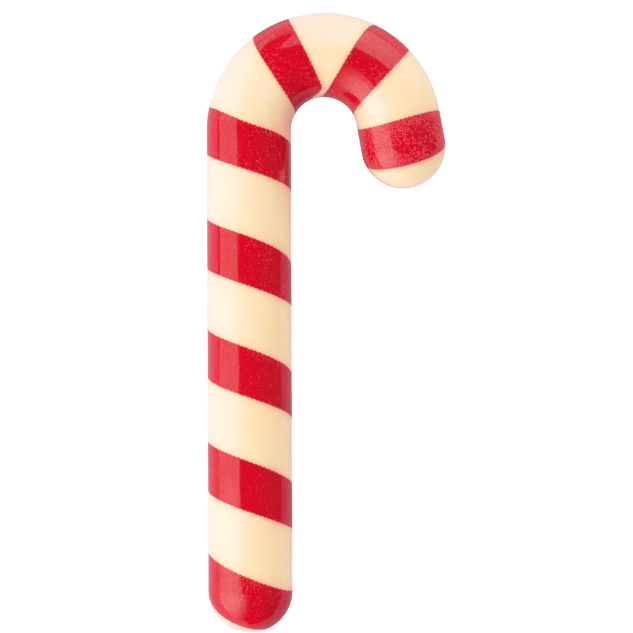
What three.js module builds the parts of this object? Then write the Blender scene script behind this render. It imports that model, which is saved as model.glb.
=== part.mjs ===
// A candy cane of moulded white chocolate, lying on its side, as a standalone three.js example.
//
// It is one solid: a round bar with a dome on each end, straight for most of its length and bent
// over into a hook at the top. The bar is first turned on a lathe as a straight rod, and the rod is
// then bent by moving each of its points to the same place beside a curved centre line.
//
// Units are millimetres. The cane lies flat: its shaft runs along +Y, its hook turns over towards +X
// and +Z points up from the surface below. The origin is under the middle of the cane, on that
// surface.

import * as THREE from 'three';

// Driving dimensions
const BAR_DIAMETER = 9.55;
const SHAFT_LENGTH = 52; // from the centre of the foot's dome to where the bend starts
const BEND_RADIUS = 8.5; // of the centre line
const BEND_ANGLE = THREE.MathUtils.degToRad( 170 );
const TIP_LENGTH = 3.4; // from where the bend ends to the centre of the tip's dome
const REST_FLAT_WIDTH = 1.25; // of the narrow flat along the underside, which the cane lies on

// How finely each stretch is divided
const SIDES_ROUND_BAR = 48;
const DOME_STEPS = 10;
const SHAFT_STEPS = 13;
const BEND_STEPS = 34;
const TIP_STEPS = 2;

// Worked out from them
const BAR_RADIUS = BAR_DIAMETER / 2;
const BEND_LENGTH = BEND_RADIUS * BEND_ANGLE;
const CENTRE_LINE_LENGTH = SHAFT_LENGTH + BEND_LENGTH + TIP_LENGTH;
const REST_FLAT_DEPTH = Math.sqrt( BAR_RADIUS ** 2 - ( REST_FLAT_WIDTH / 2 ) ** 2 ); // under the centre line

const UP = new THREE.Vector3( 0, 0, 1 );

// The centre line at a distance from the centre of the foot's dome: the point there, and the unit
// vector along the line. The line is straight, then a circular arc that turns towards +X, then
// straight again, and it runs on straight past both ends, through the domes.
function centreLineAt( distance ) {

	const turned = THREE.MathUtils.clamp( ( distance - SHAFT_LENGTH ) / BEND_RADIUS, 0, BEND_ANGLE );
	const forward = new THREE.Vector3( Math.sin( turned ), Math.cos( turned ), 0 );

	const arcX = BEND_RADIUS * ( 1 - Math.cos( turned ) );
	const arcY = SHAFT_LENGTH + BEND_RADIUS * Math.sin( turned );
	const pastArc = distance - SHAFT_LENGTH - BEND_RADIUS * turned;
	const point = new THREE.Vector3( arcX, arcY, 0 ).addScaledVector( forward, pastArc );

	return { point, forward };

}

// The outline of half the straight rod, from the foot's pole to the tip's pole, as lathe points:
// x is the radius and y the distance along the centre line.
function rodOutline() {

	const outline = [];

	const addDome = ( centre, fromAngle, steps ) => {

		for ( let i = 0; i <= steps; i ++ ) {

			const angle = fromAngle + ( Math.PI / 2 ) * ( i / steps );
			const radius = Math.max( 0, BAR_RADIUS * Math.cos( angle ) );
			outline.push( new THREE.Vector2( radius, centre + BAR_RADIUS * Math.sin( angle ) ) );

		}

	};

	const addStretch = ( start, length, steps ) => {

		for ( let i = 1; i < steps; i ++ ) {

			outline.push( new THREE.Vector2( BAR_RADIUS, start + length * ( i / steps ) ) );

		}

	};

	const addRing = ( distance ) => outline.push( new THREE.Vector2( BAR_RADIUS, distance ) );

	addDome( 0, - Math.PI / 2, DOME_STEPS );
	addStretch( 0, SHAFT_LENGTH, SHAFT_STEPS );
	addRing( SHAFT_LENGTH );
	addStretch( SHAFT_LENGTH, BEND_LENGTH, BEND_STEPS );
	addRing( SHAFT_LENGTH + BEND_LENGTH );
	addStretch( SHAFT_LENGTH + BEND_LENGTH, TIP_LENGTH, TIP_STEPS );
	addDome( CENTRE_LINE_LENGTH, 0, DOME_STEPS );

	return outline;

}

// Bends a rod that stands along Y round the centre line. Its x becomes the distance to the right of
// the line, and its z stays the height.
function bendRod( geometry ) {

	const positions = geometry.getAttribute( 'position' );

	for ( let i = 0; i < positions.count; i ++ ) {

		const { point, forward } = centreLineAt( positions.getY( i ) );
		const right = new THREE.Vector3().crossVectors( forward, UP );

		point.addScaledVector( right, positions.getX( i ) );
		positions.setXY( i, point.x, point.y );

	}

}

// Levels the underside: every point lower than the flat is lifted to it.
function levelUnderside( geometry ) {

	const positions = geometry.getAttribute( 'position' );

	for ( let i = 0; i < positions.count; i ++ ) {

		positions.setZ( i, Math.max( positions.getZ( i ), - REST_FLAT_DEPTH ) );

	}

}

// Moves a geometry so that the origin is at the middle of its box's underside.
function standOnOrigin( geometry ) {

	geometry.computeBoundingBox();

	const middle = geometry.boundingBox.getCenter( new THREE.Vector3() );

	geometry.translate( - middle.x, - middle.y, - geometry.boundingBox.min.z );

}

function makeCane() {

	const geometry = new THREE.LatheGeometry( rodOutline(), SIDES_ROUND_BAR );

	bendRod( geometry );
	levelUnderside( geometry );
	standOnOrigin( geometry );
	geometry.computeVertexNormals();

	const whiteChocolate = new THREE.MeshStandardMaterial( {
		color: 0xf7e3bd,
		roughness: 0.25,
		metalness: 0
	} );

	const cane = new THREE.Mesh( geometry, whiteChocolate );
	cane.name = 'candy_cane';

	return cane;

}

const candyCane = new THREE.Group();
candyCane.name = 'white_chocolate_candy_cane';
candyCane.add( makeCane() );

export default candyCane;
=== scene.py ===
"""A moulded white chocolate candy cane with printed red stripes.

The file is laid out as a Blender add-on and runs as a script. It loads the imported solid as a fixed
frame, works out the cane's skin and stripes as functions of the distance along the bar and the
angle round it, and sets up a pale floor, studio panels and a camera that looks straight down.

Lengths are metres, in the frame's own axes: the shaft runs along +Y, the hook turns towards +X and
+Z points up from the floor.
"""

import math

import bpy
import numpy as np
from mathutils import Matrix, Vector


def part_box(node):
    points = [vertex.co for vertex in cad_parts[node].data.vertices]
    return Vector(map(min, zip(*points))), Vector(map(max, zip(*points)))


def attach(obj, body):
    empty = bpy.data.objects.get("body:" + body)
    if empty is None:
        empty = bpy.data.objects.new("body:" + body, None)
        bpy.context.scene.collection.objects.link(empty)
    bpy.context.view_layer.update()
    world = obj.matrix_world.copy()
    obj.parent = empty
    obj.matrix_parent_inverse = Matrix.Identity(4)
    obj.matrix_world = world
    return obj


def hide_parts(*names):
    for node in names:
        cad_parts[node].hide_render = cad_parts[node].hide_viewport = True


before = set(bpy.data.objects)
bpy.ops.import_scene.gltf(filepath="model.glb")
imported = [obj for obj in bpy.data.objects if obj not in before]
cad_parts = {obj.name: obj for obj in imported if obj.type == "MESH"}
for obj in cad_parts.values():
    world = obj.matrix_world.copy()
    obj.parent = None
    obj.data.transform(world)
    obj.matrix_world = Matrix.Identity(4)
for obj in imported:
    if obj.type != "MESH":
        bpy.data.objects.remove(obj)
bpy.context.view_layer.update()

bl_info = {
    "name": "White Chocolate Candy Cane",
    "version": (1, 0, 0),
    "blender": (4, 5, 0),
    "location": "3D View > Sidebar > Candy Cane",
    "description": "Builds a moulded white chocolate candy cane with printed red stripes",
    "category": "Add Mesh",
}

NODE = "candy_cane"
BODY = "root"
MM = 0.001

# What the frame's box doesn't give of the bar's form
BEND_ANGLE = math.radians(170)
TIP_LENGTH = 3.4 * MM  # from where the bend ends to the centre of the tip's dome
REST_FLAT_WIDTH = 1.25 * MM  # of the narrow flat along the underside

# The stripes, from below the foot to past the tip. Each has its lower and its upper edge, and each
# edge the distances along the bar, in mm from the centre of the foot's dome, at which it passes the
# four PLACES_ROUND the bar. The first and the last stripe only show round the back.
STRIPES = (
    ((-13.50, -17.50, -19.60, -20.00), (-8.10, -10.50, -12.30, -13.40)),
    ((0.05, -4.45, -5.58, -5.45), (4.55, 2.52, 0.56, 0.10)),
    ((11.41, 9.80, 8.06, 6.87), (17.01, 15.53, 13.68, 11.93)),
    ((24.25, 22.67, 20.95, 19.37), (29.76, 28.24, 26.41, 24.33)),
    ((36.46, 35.23, 33.50, 31.98), (42.15, 40.82, 39.00, 36.60)),
    ((49.36, 48.22, 46.59, 45.02), (53.64, 53.35, 52.00, 50.13)),
    ((60.02, 59.34, 58.45, 56.01), (62.75, 63.05, 64.34, 66.90)),
    ((69.39, 68.48, 67.24, 63.96), (72.26, 72.54, 73.17, 74.89)),
    ((77.47, 77.42, 77.87, 77.67), (81.08, 82.64, 82.97, 82.11)),
    ((97.00, 93.80, 90.80, 87.30), (104.0, 99.80, 96.80, 93.90)),
)
PLACES_ROUND = np.radians((-90.0, -30.0, 30.0, 90.0))  # from the left side over the front to the right

# On the inside of the bend one stripe's upper edge is bitten into by a V of bare chocolate
BITTEN_STRIPE = 6
BITE_DEEPEST = 58.95  # mm along the bar, where the V is deepest
BITE_ANGLE = math.radians(100)  # round the bar, of that place
BITE_SLOPE = 8.2  # mm along the bar for each radian round it
BITE_ROUNDING = 0.25  # mm

# How worn the print is, at places in mm along the bar. At nought it is fresh, and from about one
# upwards a light web shows all over it.
WEAR = (
    (-7, 0.30),
    (-2, 0.30),
    (1.5, 0.75),
    (5, 0.75),
    (9, 0.10),
    (16, 0.10),
    (22, 0.30),
    (40, 0.30),
    (50, 0.40),
    (66, 0.45),
    (70, 0.25),
    (74, 0.65),
    (77, 1.4),
)

# The slow waves of the moulded skin: each one's height as a share, its length along the bar for each
# radian, how many times it waves round the bar, and where it starts, in radians
WAVES = (
    (0.45, 1.9 * MM, 2, 0.4),
    (0.35, 1.15 * MM, -3, 2.1),
    (0.30, 3.4 * MM, 1, 4.0),
    (0.25, 0.8 * MM, 4, 1.3),
)

QUARTER = math.pi / 2
SMALLEST_SECTION = 0.05  # of the bar's radius, which keeps the sums finite at the poles


# Settings


class CaneForm(bpy.types.PropertyGroup):
    """How finely the cane's skin is divided, and how uneven its moulded surface is."""

    grid_step: bpy.props.FloatProperty(
        name="Grid step",
        description="Length of the skin's faces, along the bar and round it",
        default=0.2 * MM,
        min=0.15 * MM,
        precision=5,
        subtype="DISTANCE",
        unit="LENGTH",
    )
    unevenness: bpy.props.FloatProperty(
        name="Unevenness",
        description="How far the skin rises and falls in slow waves",
        default=0.012 * MM,
        min=0.0,
        precision=6,
        subtype="DISTANCE",
        unit="LENGTH",
    )


class CaneFinish(bpy.types.PropertyGroup):
    """Colours and gloss of the chocolate and of the print on it."""

    chocolate: bpy.props.FloatVectorProperty(
        name="Chocolate",
        description="Colour of the white chocolate",
        default=(0.95, 0.79, 0.55),
        min=0.0,
        max=1.0,
        subtype="COLOR",
    )
    chocolate_deep: bpy.props.FloatVectorProperty(
        name="Chocolate, deeper",
        description="Colour of the white chocolate where it is a little darker",
        default=(0.945, 0.775, 0.52),
        min=0.0,
        max=1.0,
        subtype="COLOR",
    )
    # The blush is partly dye from the print and partly a painted tint of light that travels inside the
    # chocolate under the print
    blush_and_painted_glow: bpy.props.FloatVectorProperty(
        name="Blush",
        description="Colour that the print lends to the chocolate beside it",
        default=(0.94, 0.02, 0.03),
        min=0.0,
        max=1.0,
        subtype="COLOR",
    )
    red: bpy.props.FloatVectorProperty(
        name="Red",
        description="Colour of the print",
        default=(0.48, 0.0005, 0.010),
        min=0.0,
        max=1.0,
        subtype="COLOR",
    )
    red_fresh: bpy.props.FloatVectorProperty(
        name="Red, brighter",
        description="Colour of the print in the brighter dots of its fine grain",
        default=(0.63, 0.003, 0.015),
        min=0.0,
        max=1.0,
        subtype="COLOR",
    )
    red_light: bpy.props.FloatVectorProperty(
        name="Red, thin",
        description="Colour of the print where it is thin",
        default=(0.84, 0.09, 0.12),
        min=0.0,
        max=1.0,
        subtype="COLOR",
    )
    red_dark: bpy.props.FloatVectorProperty(
        name="Red, thick",
        description="Colour of the beads along the print's edge",
        default=(0.42, 0.018, 0.016),
        min=0.0,
        max=1.0,
        subtype="COLOR",
    )


class CaneStudio(bpy.types.PropertyGroup):
    """Brightness of the lamps and the panels, and the camera's frame."""

    lamps: bpy.props.FloatProperty(
        name="Lamps",
        description="Brightness of all the soft lamps together",
        default=1.0,
        min=0.0,
    )
    back_panel: bpy.props.FloatProperty(
        name="Back panel",
        description="Radiance of the brightest part of the panel behind the hook",
        default=2.8,
        min=0.0,
    )
    back_wall: bpy.props.FloatProperty(
        name="Back wall",
        description="Radiance of the low wall at the back left",
        default=0.7,
        min=0.0,
    )
    side_panel: bpy.props.FloatProperty(
        name="Side panel",
        description="Radiance of the panel on the left",
        default=1.5,
        min=0.0,
    )
    front_panel: bpy.props.FloatProperty(
        name="Front panel",
        description="Radiance of the soft round glow in the panel at the front left",
        default=4.5,
        min=0.0,
    )
    room: bpy.props.FloatProperty(
        name="Room",
        description="Radiance of the dim room round the panels, on the right",
        default=0.13,
        min=0.0,
    )
    frame_width: bpy.props.FloatProperty(
        name="Frame width",
        description="Width of the camera's frame at the height of the bar's middle",
        default=71.59 * MM,
        min=1 * MM,
        precision=5,
        subtype="DISTANCE",
        unit="LENGTH",
    )
    camera_distance: bpy.props.FloatProperty(
        name="Camera distance",
        description="Height of the camera above the bar's middle",
        default=1.0,
        min=0.1,
        subtype="DISTANCE",
        unit="LENGTH",
    )


# The bar's form


def bar_sizes():
    """The bar's sizes, worked out from the frame's box.

    The bar's height is its radius plus the flat's depth under the centre line, and that depth is
    the other leg of a right triangle on the radius and half the flat's width. The box is one bar's
    diameter wider than the tip's dome centre is from the shaft, and one diameter longer than the
    shaft and the bend's radius together.
    """
    low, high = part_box(NODE)
    size = high - low
    radius = (size.z**2 + (REST_FLAT_WIDTH / 2) ** 2) / (2 * size.z)
    hook_reach = size.x - 2 * radius - TIP_LENGTH * math.sin(BEND_ANGLE)
    bend_radius = hook_reach / (1 - math.cos(BEND_ANGLE))
    shaft = size.y - 2 * radius - bend_radius
    return {
        "radius": radius,
        "bend_radius": bend_radius,
        "shaft": shaft,
        "length": shaft + bend_radius * BEND_ANGLE + TIP_LENGTH,
        "foot": Vector((low.x + radius, low.y + radius, high.z - radius)),
        "floor": low.z,
    }


def centre_line(sizes, distance):
    """Points of the centre line and its direction, at distances from the centre of the foot's dome.

    The line runs straight along +Y, then turns towards +X on a circular arc, then runs straight on.
    The angle turned is the distance past the shaft over the bend's radius, held between nought and
    the bend's whole angle, and what is left past the arc goes along the direction reached.
    """
    turned = np.clip((distance - sizes["shaft"]) / sizes["bend_radius"], 0, BEND_ANGLE)
    forward = np.stack([np.sin(turned), np.cos(turned), np.zeros_like(turned)], -1)
    past_arc = distance - sizes["shaft"] - sizes["bend_radius"] * turned
    arc = np.stack(
        [
            sizes["bend_radius"] * (1 - np.cos(turned)),
            sizes["shaft"] + sizes["bend_radius"] * np.sin(turned),
            np.zeros_like(turned),
        ],
        -1,
    )
    return arc + forward * past_arc[..., None] + np.array(sizes["foot"]), forward


def unevenness(along, angle, depth):
    """Slow waves of the moulded skin: a sum of sines of the distance and the angle."""
    return depth * sum(
        share * np.sin(along / length + times * angle + start)
        for share, length, times, start in WAVES
    )


def skin_points(sizes, along, angle, wave):
    """Points of the skin, from the distance along it and the angle round it.

    The distance is measured over the domes too: past each end of the centre line it is an arc on
    the dome, whose angle is the distance past the end over the radius. The section's radius is the
    bar's times the cosine of that angle, and its centre lies further out by the bar's radius times
    the sine. Angle nought is the front, which faces up, and a quarter turn is the right side. What
    would reach below the flat is lifted to it.
    """
    reach = np.clip(along, 0, sizes["length"])
    dome = (along - reach) / sizes["radius"]
    centre, forward = centre_line(sizes, reach)
    right = np.stack([forward[..., 1], -forward[..., 0], np.zeros_like(along)], -1)
    up = np.array([0.0, 0.0, 1.0])
    out = right * np.sin(angle)[..., None] + up * np.cos(angle)[..., None]
    out = out * np.cos(dome)[..., None] + forward * np.sin(dome)[..., None]
    points = centre + out * (sizes["radius"] + unevenness(along, angle, wave))[..., None]
    points[..., 2] = np.maximum(points[..., 2], sizes["floor"])
    return points


# The stripes


def stripe_edge(edge, stripe, turn):
    """The place along the bar at which a stripe's edge passes each angle, and its slope there.

    The angle runs from the left side, a quarter turn before the front, over one whole turn. Over
    the front half of it the edge is the cubic through its four places. Round the back it is the
    cubic that goes on with that slope and runs into the left side of the stripe below.
    """
    curve = np.polyfit(PLACES_ROUND, MM * np.array(STRIPES[stripe][edge]), 3)
    next_curve = np.polyfit(PLACES_ROUND, MM * np.array(STRIPES[stripe - 1][edge]), 3)
    steepness = np.polyder(curve)

    t = (turn - QUARTER) / math.pi
    start = math.pi * np.polyval(steepness, QUARTER)
    end = math.pi * np.polyval(np.polyder(next_curve), -QUARTER)
    right = np.polyval(curve, QUARTER)
    drop = right - np.polyval(next_curve, -QUARTER)
    cube = 2 * drop + start + end
    square = -3 * drop - 2 * start - end
    back = right + start * t + square * t**2 + cube * t**3
    back_slope = (start + 2 * square * t + 3 * cube * t**2) / math.pi

    in_front = turn <= QUARTER
    place = np.where(in_front, np.polyval(curve, turn), back)
    slope = np.where(in_front, np.polyval(steepness, turn), back_slope)
    return place, slope


def smooth_minimum(a, b, rounding):
    """The smaller of two heights, with the corner between them rounded off.

    It is minus the rounding times the logarithm of the sum of two exponentials, each of minus a
    height over the rounding.
    """
    lowest = np.minimum(a, b)
    return lowest - rounding * np.log1p(np.exp(-np.abs(a - b) / rounding))


def print_depth(sizes, along, angle):
    """How far inside the print each point lies, in metres, and how far outside it where negative.

    For each stripe it is the smaller distance to the stripe's two edges, and the stripe that the
    point is deepest in, or nearest to, gives the answer. The distance to an edge is the distance to
    it along the centre line over the steepness of that difference on the skin. The steepness has
    one part along the bar, which the bend draws out on its outside and packs on its inside, and one
    part round the bar, from the edge's slope over the section's radius.

    The bitten stripe also ends at the V: the smaller of its own distance and the distance to the V's
    sides, with the corner rounded off. The sides rise from the deepest place by one slope for each
    radian round the bar.
    """
    bent = np.clip((along - sizes["shaft"]) / MM, 0, 1) * (along < sizes["length"] - TIP_LENGTH)
    stretch = 1 - bent * sizes["radius"] * np.sin(angle) / sizes["bend_radius"]
    past_end = along - np.clip(along, 0, sizes["length"])
    section = sizes["radius"] * np.maximum(np.cos(past_end / sizes["radius"]), SMALLEST_SECTION)
    turn = (angle + QUARTER) % (2 * math.pi) - QUARTER

    def distance(difference, slope):
        return difference / np.hypot(1 / stretch, slope / section)

    bite = BITE_DEEPEST * MM + BITE_SLOPE * MM * np.abs(turn - BITE_ANGLE)
    outside_bite = distance(bite - along, BITE_SLOPE * MM)
    deepest = np.full(along.shape, -np.inf)
    for stripe in range(1, len(STRIPES)):
        lower, lower_slope = stripe_edge(0, stripe, turn)
        upper, upper_slope = stripe_edge(1, stripe, turn)
        inside = np.minimum(
            distance(along - lower, lower_slope), distance(upper - along, upper_slope)
        )
        if stripe == BITTEN_STRIPE:
            inside = smooth_minimum(inside, outside_bite, BITE_ROUNDING * MM)
        deepest = np.maximum(deepest, inside)
    return deepest


# Meshes


def closed_bar_mesh(name, points, uv_name):
    """A closed mesh from a grid of rings whose first and last rings are single points.

    Each ring is joined to the next by quads, and the poles by triangles. In the UV map, U is the
    share of the way from pole to pole and V the share of the way round the bar.
    """
    rows, columns = points.shape[:2]
    row = np.arange(1, rows - 2)[:, None]
    column = np.arange(columns)[None, :]

    def index(i, j):
        return 1 + (i - 1) * columns + j % columns

    quads = np.stack(
        [
            index(row, column),
            index(row, column + 1),
            index(row + 1, column + 1),
            index(row + 1, column),
        ],
        -1,
    ).reshape(-1, 4)
    j = np.arange(columns)
    last = 1 + (rows - 2) * columns
    foot = np.stack([np.zeros_like(j), index(1, j + 1), index(1, j)], -1)
    tip = np.stack([np.full_like(j, last), index(rows - 2, j), index(rows - 2, j + 1)], -1)
    vertices = np.concatenate([points[:1, 0], points[1:-1].reshape(-1, 3), points[-1:, 0]])
    mesh = bpy.data.meshes.new(name)
    mesh.from_pydata(vertices.tolist(), [], foot.tolist() + quads.tolist() + tip.tolist())
    mesh.polygons.foreach_set("use_smooth", np.ones(len(mesh.polygons), bool))

    row, column = (a.ravel() for a in np.broadcast_arrays(row, column))
    quad_uv = np.stack(
        [
            np.stack([row, row, row + 1, row + 1], -1),
            np.stack([column, column + 1, column + 1, column], -1),
        ],
        -1,
    ).reshape(-1, 2)
    foot_uv = np.stack(
        [np.tile([0, 1, 1], (columns, 1)), np.stack([j + 0.5, j + 1, j], -1)], -1
    ).reshape(-1, 2)
    tip_uv = np.stack(
        [
            np.tile([rows - 1, rows - 2, rows - 2], (columns, 1)),
            np.stack([j + 0.5, j, j + 1], -1),
        ],
        -1,
    ).reshape(-1, 2)
    uv = np.concatenate([foot_uv, quad_uv, tip_uv]) / (rows - 1, columns)
    layer = mesh.uv_layers.new(name=uv_name)
    layer.data.foreach_set("uv", uv.astype(np.float32).ravel())
    mesh.update()
    return mesh


def add_point_values(mesh, name, grid):
    """Keeps a grid of values on a closed bar's mesh as a point attribute."""
    values = np.concatenate([[grid[0].mean()], grid[1:-1].ravel(), [grid[-1].mean()]])
    attribute = mesh.attributes.new(name, "FLOAT", "POINT")
    attribute.data.foreach_set("value", values.astype(np.float32))


def add_object(name, mesh, material):
    """Puts a mesh into the scene, with its place in the mesh and its object at the origin."""
    piece = bpy.data.objects.new(name, mesh)
    bpy.context.scene.collection.objects.link(piece)
    piece.data.materials.append(material)
    return piece


# Materials

UV_NAME = "OFBake"
DEPTH_NAME = "print_depth_mm"
WEAR_NAME = "print_wear"
# The colour sockets of a Mix node: two inputs and the output
MIX_A = 6
MIX_B = 7
MIX_RESULT = 2

# The chocolate
SCATTER_REACH = (3.5, 1.2, 0.9)  # mm that red, green and blue light go inside it
CLOUD_SIZE = 6 * MM
CLOUD_NOISE = (0.35, 0.65)
# The blush beside the print, partly dye and partly painted light: its strongest share, and its reach
BLUSH_AND_GLOW_SHARE = 0.24
BLUSH_AND_GLOW_REACH = 0.42  # mm

# Values on the bare chocolate and on the print
ROUGHNESS = (0.12, 0.06)
SCATTERING = (1.0, 0.35)
SHEEN = (1.0, 0.0)
SHEEN_ROUGHNESS = 0.3

# The print's edge, with depths in mm
TEETH_ROUND_BAR = 60
TOOTH_DEPTH = 0.03
TOOTH_WANDER = 9.0  # radians, by which slow noise shifts the teeth
WANDER_SIZE = 1.5 * MM
RAGGED_DEPTH = 0.12
RAGGED_SIZE = 0.16 * MM
EDGE_SOFTNESS = 0.06
LINE_INSIDE = (0.22, 0.12)  # the thick line fades in from the print
LINE_OUTSIDE = (0.0, 0.06)  # and from the bare side
LINE_TEETH = (-1.2, 0.8)  # and towards the teeth's tips
LINE_STRENGTH = 0.6

# How much of the print is thin, as a share
BLOTCH_SIZE = 2.2 * MM
BLOTCH_NOISE = (0.42, 0.60)
BLOTCH_SHARE = (0.10, 0.65)
EDGE_WEAR_DEPTH = (1.2, 0.2)  # mm from the edge
EDGE_WEAR_SHARE = 0.65
PATCHY_WEAR = 0.6  # the blotches and the edge don't gain by more wear than this
OVERALL_WEAR = (0.7, 1.4)
OVERALL_SHARE = 0.34
THINNESS = 0.30  # where the print is fresh
THINNESS_BY_WEAR = 0.42

# The specks, with sizes as shares of a cell
SPECK_SPACING = 0.24 * MM
SPECK_IRREGULARITY = 0.9
SPECKED_CELLS = 0.5  # for a share of one
SPECK_SIZE = 0.18
SPECK_SIZE_RANGE = 0.14
SPECK_SOFTNESS = (-0.08, 0.10)

# The web of light lines
WEB_SPACING = 0.29 * MM
WEB_LINE = (0.18, 0.03)  # as shares of a cell, from a line's outside to its middle
WEB_BREAK_SIZE = 0.30 * MM
WEB_NOISE = (0.64, 0.78)
WEB_BY_SHARE = 0.30

# The print's grain
GRAIN_SIZE = 0.11 * MM
GRAIN_NOISE = (0.34, 0.66)
GRAIN_GLOSS = 0.6
GRAIN_HEIGHT = 0.001 * MM
GRAIN_STRENGTH = 0.2
GLOSS = 0.5


def add_node(tree, kind, settings=None, inputs=None):
    """Adds a node, sets its properties, and sets or links the inputs given by name or number."""
    node = tree.nodes.new(kind)
    for name, value in (settings or {}).items():
        setattr(node, name, value)
    for key, value in (inputs or {}).items():
        if isinstance(value, bpy.types.NodeSocket):
            tree.links.new(value, node.inputs[key])
        else:
            node.inputs[key].default_value = value
    return node


def calculate(tree, operation, *values):
    """The result of a Math node."""
    node = add_node(tree, "ShaderNodeMath", {"operation": operation}, dict(enumerate(values)))
    return node.outputs[0]


def ramp(tree, value, start, end, low=0.0, high=1.0):
    """A smooth step from low to high as the value goes from start to end."""
    node = add_node(
        tree,
        "ShaderNodeMapRange",
        {"interpolation_type": "SMOOTHSTEP"},
        {"Value": value, "From Min": start, "From Max": end, "To Min": low, "To Max": high},
    )
    return node.outputs[0]


def blend(tree, factor, a, b):
    """A mix of two colours, each a socket or a colour of three numbers."""
    node = add_node(tree, "ShaderNodeMix", {"data_type": "RGBA"}, {0: factor})
    for number, value in ((MIX_A, a), (MIX_B, b)):
        if isinstance(value, bpy.types.NodeSocket):
            tree.links.new(value, node.inputs[number])
        else:
            node.inputs[number].default_value = (*value, 1.0)
    return node.outputs[MIX_RESULT]


def noise(tree, place, size):
    """Soft random blotches of about a size, in metres, as values round a half."""
    node = add_node(
        tree,
        "ShaderNodeTexNoise",
        {"noise_dimensions": "3D"},
        {"Vector": place, "Scale": 1 / size, "Detail": 1.0, "Roughness": 0.5},
    )
    return node.outputs[0]


def cell_pattern(tree, place, spacing, irregularity, feature="F1"):
    """The outputs of a flat pattern of random cells whose middles are about a spacing apart."""
    node = add_node(
        tree,
        "ShaderNodeTexVoronoi",
        {"voronoi_dimensions": "2D", "feature": feature},
        {"Vector": place, "Scale": 1 / spacing, "Randomness": irregularity},
    )
    return node.outputs


def chocolate_colour(tree, finish, place, depth):
    """Cream with soft deeper clouds, and with a blush that fades away from the print. The blush is
    partly dye from the print and partly a painted tint of light that travels inside the chocolate
    under the print.

    Outside the print the depth is below nought, and the blush's share goes with the exponential of
    the depth over the blush's reach.
    """
    cloud = ramp(tree, noise(tree, place, CLOUD_SIZE), *CLOUD_NOISE)
    chocolate = blend(tree, cloud, finish.chocolate, finish.chocolate_deep)
    near_print = calculate(tree, "EXPONENT", calculate(tree, "DIVIDE", depth, BLUSH_AND_GLOW_REACH))
    share = calculate(tree, "MULTIPLY", calculate(tree, "MINIMUM", near_print, 1.0), BLUSH_AND_GLOW_SHARE)
    return blend(tree, share, chocolate, finish.blush_and_painted_glow)


def print_edge(tree, place, depth, turn):
    """The depth with the teeth and ragged edge of a coarse screen, and the teeth's own wave.

    The teeth are a sine of the turn round the bar, shifted by slow noise. The ragged part is fine
    noise about nought. Both are added to the depth.
    """
    wander = noise(tree, place, WANDER_SIZE)
    phase = calculate(tree, "MULTIPLY", turn, 2 * math.pi * TEETH_ROUND_BAR)
    phase = calculate(tree, "MULTIPLY_ADD", wander, TOOTH_WANDER, phase)
    tooth = calculate(tree, "SINE", phase)
    ragged = calculate(tree, "SUBTRACT", noise(tree, place, RAGGED_SIZE), 0.5)
    edge = calculate(tree, "MULTIPLY_ADD", tooth, TOOTH_DEPTH, depth)
    return calculate(tree, "MULTIPLY_ADD", ragged, RAGGED_DEPTH, edge), tooth


def thin_places(tree, place, on_skin, edge, wear):
    """How thin the print is: light specks and a broken web of light lines.

    How much is thin is a share: slow blotches plus what is near the edge, times the wear, plus the
    same everywhere where the wear is high. That share of the cells of a pattern over the skin has a
    speck, a soft disc in the cell's middle, and lot decides which cells and how large. The web
    follows the borders of coarser cells, where a fine noise plus part of the share is high.
    """
    blotch = ramp(tree, noise(tree, place, BLOTCH_SIZE), *BLOTCH_NOISE, *BLOTCH_SHARE)
    near_edge = ramp(tree, edge, *EDGE_WEAR_DEPTH, 0.0, EDGE_WEAR_SHARE)
    patchy = calculate(tree, "MINIMUM", wear, PATCHY_WEAR)
    share = calculate(tree, "MULTIPLY", calculate(tree, "ADD", blotch, near_edge), patchy)
    share = calculate(tree, "ADD", share, ramp(tree, wear, *OVERALL_WEAR, 0.0, OVERALL_SHARE))

    cells = cell_pattern(tree, on_skin, SPECK_SPACING, SPECK_IRREGULARITY)
    lot = add_node(tree, "ShaderNodeSeparateXYZ", inputs={0: cells["Color"]}).outputs
    chance = calculate(tree, "MULTIPLY", share, SPECKED_CELLS)
    shown = calculate(tree, "LESS_THAN", lot["X"], chance)
    size = calculate(tree, "MULTIPLY_ADD", lot["Y"], SPECK_SIZE_RANGE, SPECK_SIZE)
    inside_speck = calculate(tree, "SUBTRACT", size, cells["Distance"])
    speck = calculate(tree, "MULTIPLY", ramp(tree, inside_speck, *SPECK_SOFTNESS), shown)

    lines = cell_pattern(tree, on_skin, WEB_SPACING, 1.0, "DISTANCE_TO_EDGE")
    unbroken = calculate(tree, "MULTIPLY_ADD", share, WEB_BY_SHARE, noise(tree, place, WEB_BREAK_SIZE))
    web = calculate(
        tree, "MULTIPLY", ramp(tree, unbroken, *WEB_NOISE), ramp(tree, lines["Distance"], *WEB_LINE)
    )
    thinness = calculate(tree, "MULTIPLY_ADD", wear, THINNESS_BY_WEAR, THINNESS)
    return calculate(tree, "MULTIPLY", calculate(tree, "MAXIMUM", speck, web), thinness)


def print_colour(tree, finish, grain, thin, edge, tooth):
    """Red with a brighter grain, lighter where it is thin, and with a thick line along its edge.

    The line is a narrow band of the depth, and is strongest at the teeth's tips.
    """
    red = blend(tree, grain, finish.red, finish.red_fresh)
    red = blend(tree, thin, red, finish.red_light)
    line = calculate(tree, "MULTIPLY", ramp(tree, edge, *LINE_INSIDE), ramp(tree, edge, *LINE_OUTSIDE))
    line = calculate(tree, "MULTIPLY", line, ramp(tree, tooth, *LINE_TEETH))
    return blend(tree, calculate(tree, "MULTIPLY", line, LINE_STRENGTH), red, finish.red_dark)


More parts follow.
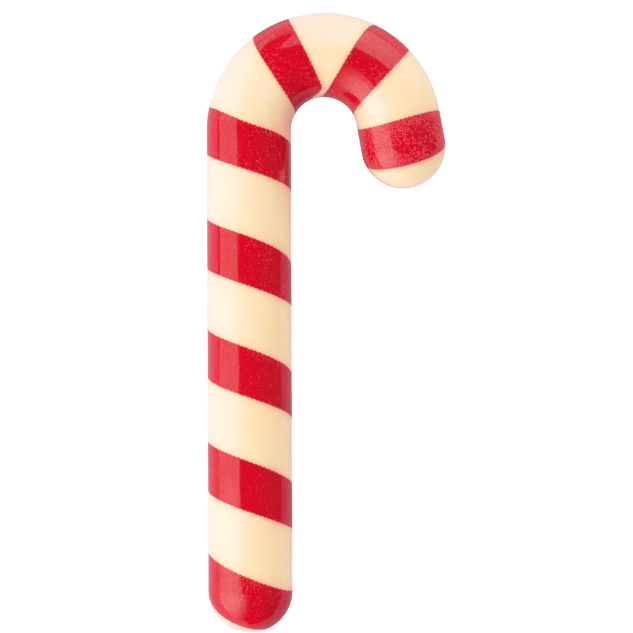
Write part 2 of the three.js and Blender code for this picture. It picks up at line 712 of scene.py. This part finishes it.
def cane_material(finish, skin_size):
    """White chocolate with a glossy red print on it.

    The print shows where its depth, with the toothed edge added, is above nought. A fine grain
    changes the print's colour and gloss together and stands up a little. The bare chocolate lets
    light in, and has a soft sheen.
    """
    material = bpy.data.materials.new("printed_white_chocolate")
    material.use_nodes = True
    tree = material.node_tree
    tree.nodes.clear()

    place = add_node(tree, "ShaderNodeTexCoord").outputs["Object"]
    depth = add_node(tree, "ShaderNodeAttribute", {"attribute_name": DEPTH_NAME}).outputs["Fac"]
    wear = add_node(tree, "ShaderNodeAttribute", {"attribute_name": WEAR_NAME}).outputs["Fac"]
    uv = add_node(tree, "ShaderNodeUVMap", {"uv_map": UV_NAME}).outputs[0]
    turn = add_node(tree, "ShaderNodeSeparateXYZ", inputs={0: uv}).outputs["Y"]
    on_skin = add_node(
        tree, "ShaderNodeVectorMath", {"operation": "MULTIPLY"}, {0: uv, 1: (*skin_size, 0.0)}
    ).outputs[0]

    edge, tooth = print_edge(tree, place, depth, turn)
    printed = ramp(tree, edge, -EDGE_SOFTNESS, EDGE_SOFTNESS)
    grain = ramp(tree, noise(tree, place, GRAIN_SIZE), *GRAIN_NOISE)
    thin = thin_places(tree, place, on_skin, edge, wear)
    chocolate = chocolate_colour(tree, finish, place, depth)
    red = print_colour(tree, finish, grain, thin, edge, tooth)

    def bare_to_printed(values):
        return ramp(tree, printed, 0.0, 1.0, *values)

    gloss = calculate(tree, "MULTIPLY", calculate(tree, "SUBTRACT", grain, 0.5), printed)
    gloss = calculate(tree, "MULTIPLY_ADD", gloss, GRAIN_GLOSS, GLOSS)
    height = calculate(tree, "MULTIPLY", grain, printed)
    bump = add_node(
        tree,
        "ShaderNodeBump",
        inputs={"Strength": GRAIN_STRENGTH, "Distance": GRAIN_HEIGHT, "Height": height},
    )
    surface = add_node(
        tree,
        "ShaderNodeBsdfPrincipled",
        {"subsurface_method": "RANDOM_WALK"},
        {
            "Base Color": blend(tree, printed, chocolate, red),
            "Roughness": bare_to_printed(ROUGHNESS),
            "IOR": 1.5,
            "Specular IOR Level": gloss,
            "Subsurface Weight": bare_to_printed(SCATTERING),
            "Subsurface Radius": SCATTER_REACH,
            "Subsurface Scale": MM,
            "Sheen Weight": bare_to_printed(SHEEN),
            "Sheen Roughness": SHEEN_ROUGHNESS,
            "Normal": bump.outputs[0],
        },
    )
    output = add_node(tree, "ShaderNodeOutputMaterial", inputs={"Surface": surface.outputs[0]})
    output.is_active_output = True
    return material


def glow_tree(name):
    """A new material with its tree emptied."""
    material = bpy.data.materials.new(name)
    material.use_nodes = True
    material.node_tree.nodes.clear()
    return material, material.node_tree


def plain_glow(name, radiance):
    """A panel that gives out even white light."""
    material, tree = glow_tree(name)
    glow = add_node(tree, "ShaderNodeEmission", inputs={"Strength": radiance})
    add_node(tree, "ShaderNodeOutputMaterial", inputs={"Surface": glow.outputs[0]})
    return material


def round_glow(name, radiance, centre, edge, faintest, fade, beside=None):
    """A panel with a soft round bright area and a fainter glow round it.

    The area is a disc as it shows in a mirror ball seen from above: a direction shows in the ball
    where the ball's normal is midway between that direction and straight up. The glow fades between
    two places of that ball's X. Beside an even panel it begins with that panel's radiance, and goes
    over to its own between the places SEAM of the ball's Y.
    """
    material, tree = glow_tree(name)
    place = add_node(tree, "ShaderNodeTexCoord").outputs["Object"]

    def vector(operation, *values):
        node = add_node(tree, "ShaderNodeVectorMath", {"operation": operation}, dict(enumerate(values)))
        return node.outputs["Value" if operation == "LENGTH" else "Vector"]

    midway = vector("NORMALIZE", vector("ADD", vector("NORMALIZE", place), (0, 0, 1)))
    off_centre = vector("MULTIPLY", vector("SUBTRACT", midway, (*centre, 0)), (1, 1, 0))
    strength = ramp(tree, vector("LENGTH", off_centre), *edge, faintest * radiance, radiance)
    in_ball = add_node(tree, "ShaderNodeSeparateXYZ", inputs={0: midway}).outputs
    strength = calculate(tree, "MULTIPLY", strength, ramp(tree, in_ball["X"], *fade))
    if beside is not None:
        past_seam = ramp(tree, in_ball["Y"], *SEAM)
        strength = calculate(
            tree, "MULTIPLY_ADD", calculate(tree, "SUBTRACT", strength, beside), past_seam, beside
        )
    glow = add_node(tree, "ShaderNodeEmission", inputs={"Strength": strength})
    add_node(tree, "ShaderNodeOutputMaterial", inputs={"Surface": glow.outputs[0]})
    return material


def floor_material():
    """White paper, which the camera sees as nearly even white.

    In the cane's gloss it glows by itself, with painted light and shade: brighter where the lamps
    light the paper, dimmer where the cane shades it. The glow is even on each side and changes
    smoothly from one side to the next: brightest at the back near the cane and at the front left,
    dimmest on the right and in a round painted shadow below the hook.
    """
    material, tree = glow_tree("pale_floor")
    path = add_node(tree, "ShaderNodeLightPath")
    place = add_node(tree, "ShaderNodeTexCoord").outputs["Object"]
    along = add_node(tree, "ShaderNodeSeparateXYZ", inputs={0: place}).outputs

    def mixed(factor, a, b):
        node = add_node(tree, "ShaderNodeMix", inputs={0: factor, 2: a, 3: b})
        return node.outputs[0]

    def step(axis, start, end, low=0.0, high=1.0):
        return ramp(tree, along[axis], start * MM, end * MM, low, high)

    # The paper's glow in the gloss is painted light and shade, set by the place on the paper
    left = step("X", *LEFT_STEP, *FLOOR_LEFT)
    back = step("Y", *BACK_STEP, *FLOOR_BACK)
    left = mixed(step("Y", *FRONT_STEP), left, FLOOR_FRONT_LEFT)
    glow = mixed(step("X", *RIGHT_STEP), left, FLOOR_RIGHT)
    glow = mixed(step("Y", *BEHIND_STEP), glow, back)
    # A round painted shadow below the hook darkens that glow
    from_painted_shadow = add_node(
        tree, "ShaderNodeVectorMath", {"operation": "DISTANCE"}, {0: place, 1: HOOK_PAINTED_SHADOW}
    )
    painted_shadow = ramp(tree, from_painted_shadow.outputs["Value"], *HOOK_PAINTED_SHADOW_REACH, HOOK_PAINTED_SHADOW_DARKEST, 1.0)
    glow = calculate(tree, "MULTIPLY", glow, painted_shadow)

    in_gloss = add_node(tree, "ShaderNodeEmission", inputs={"Color": GLOSS_TINT, "Strength": glow})
    paper = add_node(tree, "ShaderNodeBsdfDiffuse", inputs={"Color": PAPER})
    white = add_node(tree, "ShaderNodeEmission", inputs={"Strength": SEEN_WHITE})
    evenness = calculate(tree, "MULTIPLY", path.outputs["Is Camera Ray"], FLOOR_EVENNESS)
    seen = add_node(
        tree, "ShaderNodeMixShader", inputs={0: evenness, 1: paper.outputs[0], 2: white.outputs[0]}
    )
    both = add_node(
        tree,
        "ShaderNodeMixShader",
        inputs={0: path.outputs["Is Glossy Ray"], 1: seen.outputs[0], 2: in_gloss.outputs[0]},
    )
    add_node(tree, "ShaderNodeOutputMaterial", inputs={"Surface": both.outputs[0]})
    return material


# The studio

PANEL_DISTANCE = 0.8  # metres
WALL_BEHIND = 1.05  # times as far as the other panels
# Each panel's corners as directions from the cane: azimuth from +X towards +Y, and elevation
BACK_PANEL = (
    (117.5, 41),
    (112, 48.5),
    (70, 51),
    (18, 38),
    (30, -12.5),
    (60, -12.5),
    (98, -12.5),
    (107.5, 20),
    (113.5, 32),
)
SIDE_PANEL = (
    (180, 58.6),
    (112, -14),
    (130, -10.5),
    (150, -6.5),
    (166, 3),
    (179.4, 3.5),
    (180, 2.5),
)
FRONT_PANEL = (
    (270, 55),
    (262, 73.7),
    (206.6, 64.2),
    (187.3, 62.6),
    (180, 58.6),
    (180, 2.5),
    (182.3, -7),
    (222, -7),
    (255, -7),
    (262, 25),
)
BACK_WALL = ((126, -15), (126, 8), (114, 7), (106, 12), (101, 2), (99, -15))
# The centre of each panel's glow in a mirror ball, its edge and middle as distances from there, its
# faintest part as a share, and between which places of the ball's X it fades from nought to whole
BACK_GLOW = ((0.22, 0.55), (0.45, 0.0), 0.4, (1.0, 0.9))
FRONT_GLOW = ((-0.44, -0.26), (0.52, 0.0), 0.1, (0.02, -0.30))
SEAM = (-0.012, -0.040)  # in the ball's Y, where the front panel's glow takes over from the side panel's
# The outline of the paper under the cane, in mm
FLOOR_OUTLINE = (
    (-112, 64),
    (-112, -140),
    (-20, -140),
    (-12, -64),
    (80, -64),
    (80, 5),
    (42, 15),
    (40, 38),
    (30, 51),
    (14, 62),
    (0, 64),
)
# How bright the paper shows in the cane's gloss, with its colour there: painted light and shade
# of the paper, which only the gloss shows
GLOSS_TINT = (1.0, 0.96, 1.25, 1.0)
FLOOR_LEFT = (0.68, 0.80)  # far from the cane and near it
FLOOR_BACK = (0.75, 1.00)
FLOOR_FRONT_LEFT = 0.90
FLOOR_RIGHT = 0.46
# Where that changes, in mm: from far to near on the left and at the back, then from the left to the
# front left, from the left to the right, and from these to the back
LEFT_STEP = (-50, -15)
BACK_STEP = (60, 40)
FRONT_STEP = (-38, -52)
RIGHT_STEP = (-17, -7)
BEHIND_STEP = (36, 44)
# The round painted shadow below the hook, in the paper's glow: its middle, the distances between
# which it fades, and what it leaves
HOOK_PAINTED_SHADOW = (6 * MM, 17 * MM, 0)
HOOK_PAINTED_SHADOW_REACH = (3 * MM, 7 * MM)
HOOK_PAINTED_SHADOW_DARKEST = 0.4
# How the camera sees the paper and the room
PAPER = (0.90, 0.90, 0.90, 1.0)
SEEN_WHITE = 1.8
FLOOR_EVENNESS = 0.9  # the share of even white in the paper

ROOM_LEFT = 0.15  # the room's radiance on the left as a share of that on the right
ROOM_STEP = (0.1, 1.0)  # how far a direction points right, where the room gets lighter

# Each soft lamp's direction from the cane, spread in degrees and irradiance in W/m2
LAMPS = {
    "front_left_lamp": ((-0.80, -0.55, 0.40), 80, 5.04),
    "overhead_lamp": ((0.0, 0.0, 1.0), 120, 1.53),
    "back_right_lamp": ((0.65, 0.65, 0.40), 90, 0.48),
    "right_lamp": ((0.95, 0.0, 0.25), 60, 1.35),
    "back_lamp": ((0.0, 0.9, 0.30), 60, 2.60),
}
LAMP_COLOUR = (1.0, 0.840, 0.9225)
# How the picture is toned, like film with a soft toe and shoulder: the scene's brightness, as a
# share of the brightness that shows as white, and the brightness shown
TONE_WHITE = 1.45
TONES = (
    (0.0, 0.0),
    (0.1, 0.1),
    (0.25, 0.195),
    (0.4, 0.29),
    (0.55, 0.39),
    (0.7, 0.543),
    (0.85, 0.697),
    (1.0, 0.789),
    (1.2, 0.879),
    (1.45, 1.0),
)
COMBINED_CURVE = 3  # the curve that acts on red, green and blue alike
CAMERA_CENTRE = (-1.15 * MM, 0.69 * MM)
CAMERA_ROLL = math.radians(-0.21)
CLIP_RANGE = (0.01, 10)  # as shares of the camera's distance


def panel_mesh(name, corners, distance):
    """A many-cornered panel whose corners lie in the given directions, at one distance."""
    azimuth, elevation = np.radians(np.array(corners, float)).T
    points = distance * np.stack(
        [
            np.cos(azimuth) * np.cos(elevation),
            np.sin(azimuth) * np.cos(elevation),
            np.sin(elevation),
        ],
        -1,
    )
    mesh = bpy.data.meshes.new(name)
    mesh.from_pydata(points.tolist(), [], [list(range(len(points)))])
    return mesh


def add_panel(name, corners, material, farther=1.0):
    """A studio panel that shows in the cane's gloss but not to the camera."""
    mesh = panel_mesh(name, corners, farther * PANEL_DISTANCE)
    panel = add_object(name, mesh, material)
    panel.visible_camera = False
    panel.visible_diffuse = False
    panel.visible_shadow = False


def add_lamp(name, toward, spread, irradiance):
    """A distant soft lamp that lights the cane and the floor but doesn't show in the gloss."""
    data = bpy.data.lights.new(name, "SUN")
    data.energy = irradiance
    data.color = LAMP_COLOUR
    data.angle = math.radians(spread)
    lamp = bpy.data.objects.new(name, data)
    lamp.rotation_euler = Vector(toward).to_track_quat("Z", "Y").to_euler()
    lamp.visible_glossy = False
    bpy.context.scene.collection.objects.link(lamp)


def add_floor(sizes):
    """A sheet of pale paper under the cane, wider than the camera's frame."""
    points = [(MM * x, MM * y, sizes["floor"]) for x, y in FLOOR_OUTLINE]
    mesh = bpy.data.meshes.new("floor")
    mesh.from_pydata(points, [], [tuple(range(len(points)))])
    add_object("floor", mesh, floor_material())


def add_world(radiance):
    """A dim room, a little lighter on the right, which the camera sees as white."""
    world = bpy.data.worlds.new("studio")
    world.use_nodes = True
    tree = world.node_tree
    tree.nodes.clear()
    to_camera = add_node(tree, "ShaderNodeLightPath").outputs["Is Camera Ray"]
    toward = add_node(tree, "ShaderNodeTexCoord").outputs["Generated"]
    rightward = add_node(tree, "ShaderNodeSeparateXYZ", inputs={0: toward}).outputs["X"]
    room = ramp(tree, rightward, *ROOM_STEP, ROOM_LEFT * radiance, radiance)
    seen = calculate(tree, "MULTIPLY", to_camera, SEEN_WHITE)
    strength = calculate(tree, "MAXIMUM", seen, room)
    light = add_node(tree, "ShaderNodeBackground", inputs={"Strength": strength})
    add_node(tree, "ShaderNodeOutputWorld", inputs={"Surface": light.outputs[0]})
    bpy.context.scene.world = world


def add_camera(sizes, studio):
    """A camera straight above the cane, with a lens that takes in the frame's width.

    The lens is as long, against the sensor's width, as the camera is high against the frame's.
    """
    data = bpy.data.cameras.new("camera")
    data.lens = data.sensor_width * studio.camera_distance / studio.frame_width
    data.clip_start = studio.camera_distance * CLIP_RANGE[0]
    data.clip_end = studio.camera_distance * CLIP_RANGE[1]
    camera = bpy.data.objects.new("camera", data)
    camera.location = (*CAMERA_CENTRE, sizes["foot"].z + studio.camera_distance)
    camera.rotation_euler = (0, 0, CAMERA_ROLL)
    bpy.context.scene.collection.objects.link(camera)
    bpy.context.scene.camera = camera


def tone_picture(view):
    """Shows the picture through the tone curve, which is all that changes its colours."""
    view.view_transform = "Standard"
    view.use_curve_mapping = True
    mapping = view.curve_mapping
    mapping.white_level = (TONE_WHITE, TONE_WHITE, TONE_WHITE)
    points = mapping.curves[COMBINED_CURVE].points
    for place, tone in TONES[1:-1]:
        points.new(place / TONE_WHITE, tone)
    mapping.update()


# Operators and panel


class CANE_OT_build_cane(bpy.types.Operator):
    """Builds the cane's skin with its printed stripes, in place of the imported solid"""

    bl_idname = "candy_cane.build_cane"
    bl_label = "Build Cane"

    def execute(self, context):
        form = context.scene.cane_form
        sizes = bar_sizes()
        dome = QUARTER * sizes["radius"]
        rows = round((sizes["length"] + 2 * dome) / form.grid_step) + 1
        columns = 2 * round(math.pi * sizes["radius"] / form.grid_step)
        along, angle = np.meshgrid(
            np.linspace(-dome, sizes["length"] + dome, rows),
            np.linspace(-math.pi, math.pi, columns, endpoint=False),
            indexing="ij",
        )
        points = skin_points(sizes, along, angle, form.unevenness)
        mesh = closed_bar_mesh("cane", points, UV_NAME)
        depth = print_depth(sizes, along, angle)
        add_point_values(mesh, DEPTH_NAME, depth / MM)
        add_point_values(mesh, WEAR_NAME, np.interp(along / MM, *zip(*WEAR)))
        skin_size = (sizes["length"] + 2 * dome, 2 * math.pi * sizes["radius"])
        cane = add_object("cane", mesh, cane_material(context.scene.cane_finish, skin_size))
        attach(cane, BODY)
        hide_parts(NODE)
        return {"FINISHED"}


class CANE_OT_build_stage(bpy.types.Operator):
    """Sets up the floor, the studio panels, the lamps, the dim room and the camera above the cane"""

    bl_idname = "candy_cane.build_stage"
    bl_label = "Build Stage"

    def execute(self, context):
        studio = context.scene.cane_studio
        sizes = bar_sizes()
        add_floor(sizes)
        back_glow = round_glow("back_panel", studio.back_panel, *BACK_GLOW)
        front_glow = round_glow(
            "front_panel", studio.front_panel, *FRONT_GLOW, beside=studio.side_panel
        )
        add_panel("back_panel", BACK_PANEL, back_glow)
        add_panel("side_panel", SIDE_PANEL, plain_glow("side_panel", studio.side_panel))
        add_panel("front_panel", FRONT_PANEL, front_glow)
        wall_glow = plain_glow("back_wall", studio.back_wall)
        add_panel("back_wall", BACK_WALL, wall_glow, WALL_BEHIND)
        for name, (toward, spread, irradiance) in LAMPS.items():
            add_lamp(name, toward, spread, studio.lamps * irradiance)
        add_world(studio.room)
        add_camera(sizes, studio)
        tone_picture(context.scene.view_settings)
        return {"FINISHED"}


class CANE_PT_panel(bpy.types.Panel):
    """Lists the settings and the steps that build the cane"""

    bl_idname = "CANE_PT_panel"
    bl_label = "Candy Cane"
    bl_space_type = "VIEW_3D"
    bl_region_type = "UI"
    bl_category = "Candy Cane"

    def draw(self, context):
        scene = context.scene
        for group in (scene.cane_form, scene.cane_finish, scene.cane_studio):
            box = self.layout.box()
            for name in group.bl_rna.properties.keys():
                if name not in ("rna_type", "name"):
                    box.prop(group, name)
        for operator in OPERATORS:
            self.layout.operator(operator.bl_idname)


OPERATORS = (CANE_OT_build_cane, CANE_OT_build_stage)
GROUPS = {"cane_form": CaneForm, "cane_finish": CaneFinish, "cane_studio": CaneStudio}
CLASSES = (*GROUPS.values(), *OPERATORS, CANE_PT_panel)


def register():
    """Registers the classes and puts the settings on the scene."""
    for cls in CLASSES:
        bpy.utils.register_class(cls)
    for name, group in GROUPS.items():
        setattr(bpy.types.Scene, name, bpy.props.PointerProperty(type=group))


def unregister():
    """Takes the settings and the classes away again."""
    for name in GROUPS:
        delattr(bpy.types.Scene, name)
    for cls in reversed(CLASSES):
        bpy.utils.unregister_class(cls)


def main():
    register()
    bpy.ops.candy_cane.build_cane()
    bpy.ops.candy_cane.build_stage()


if __name__ == "__main__":
    main()
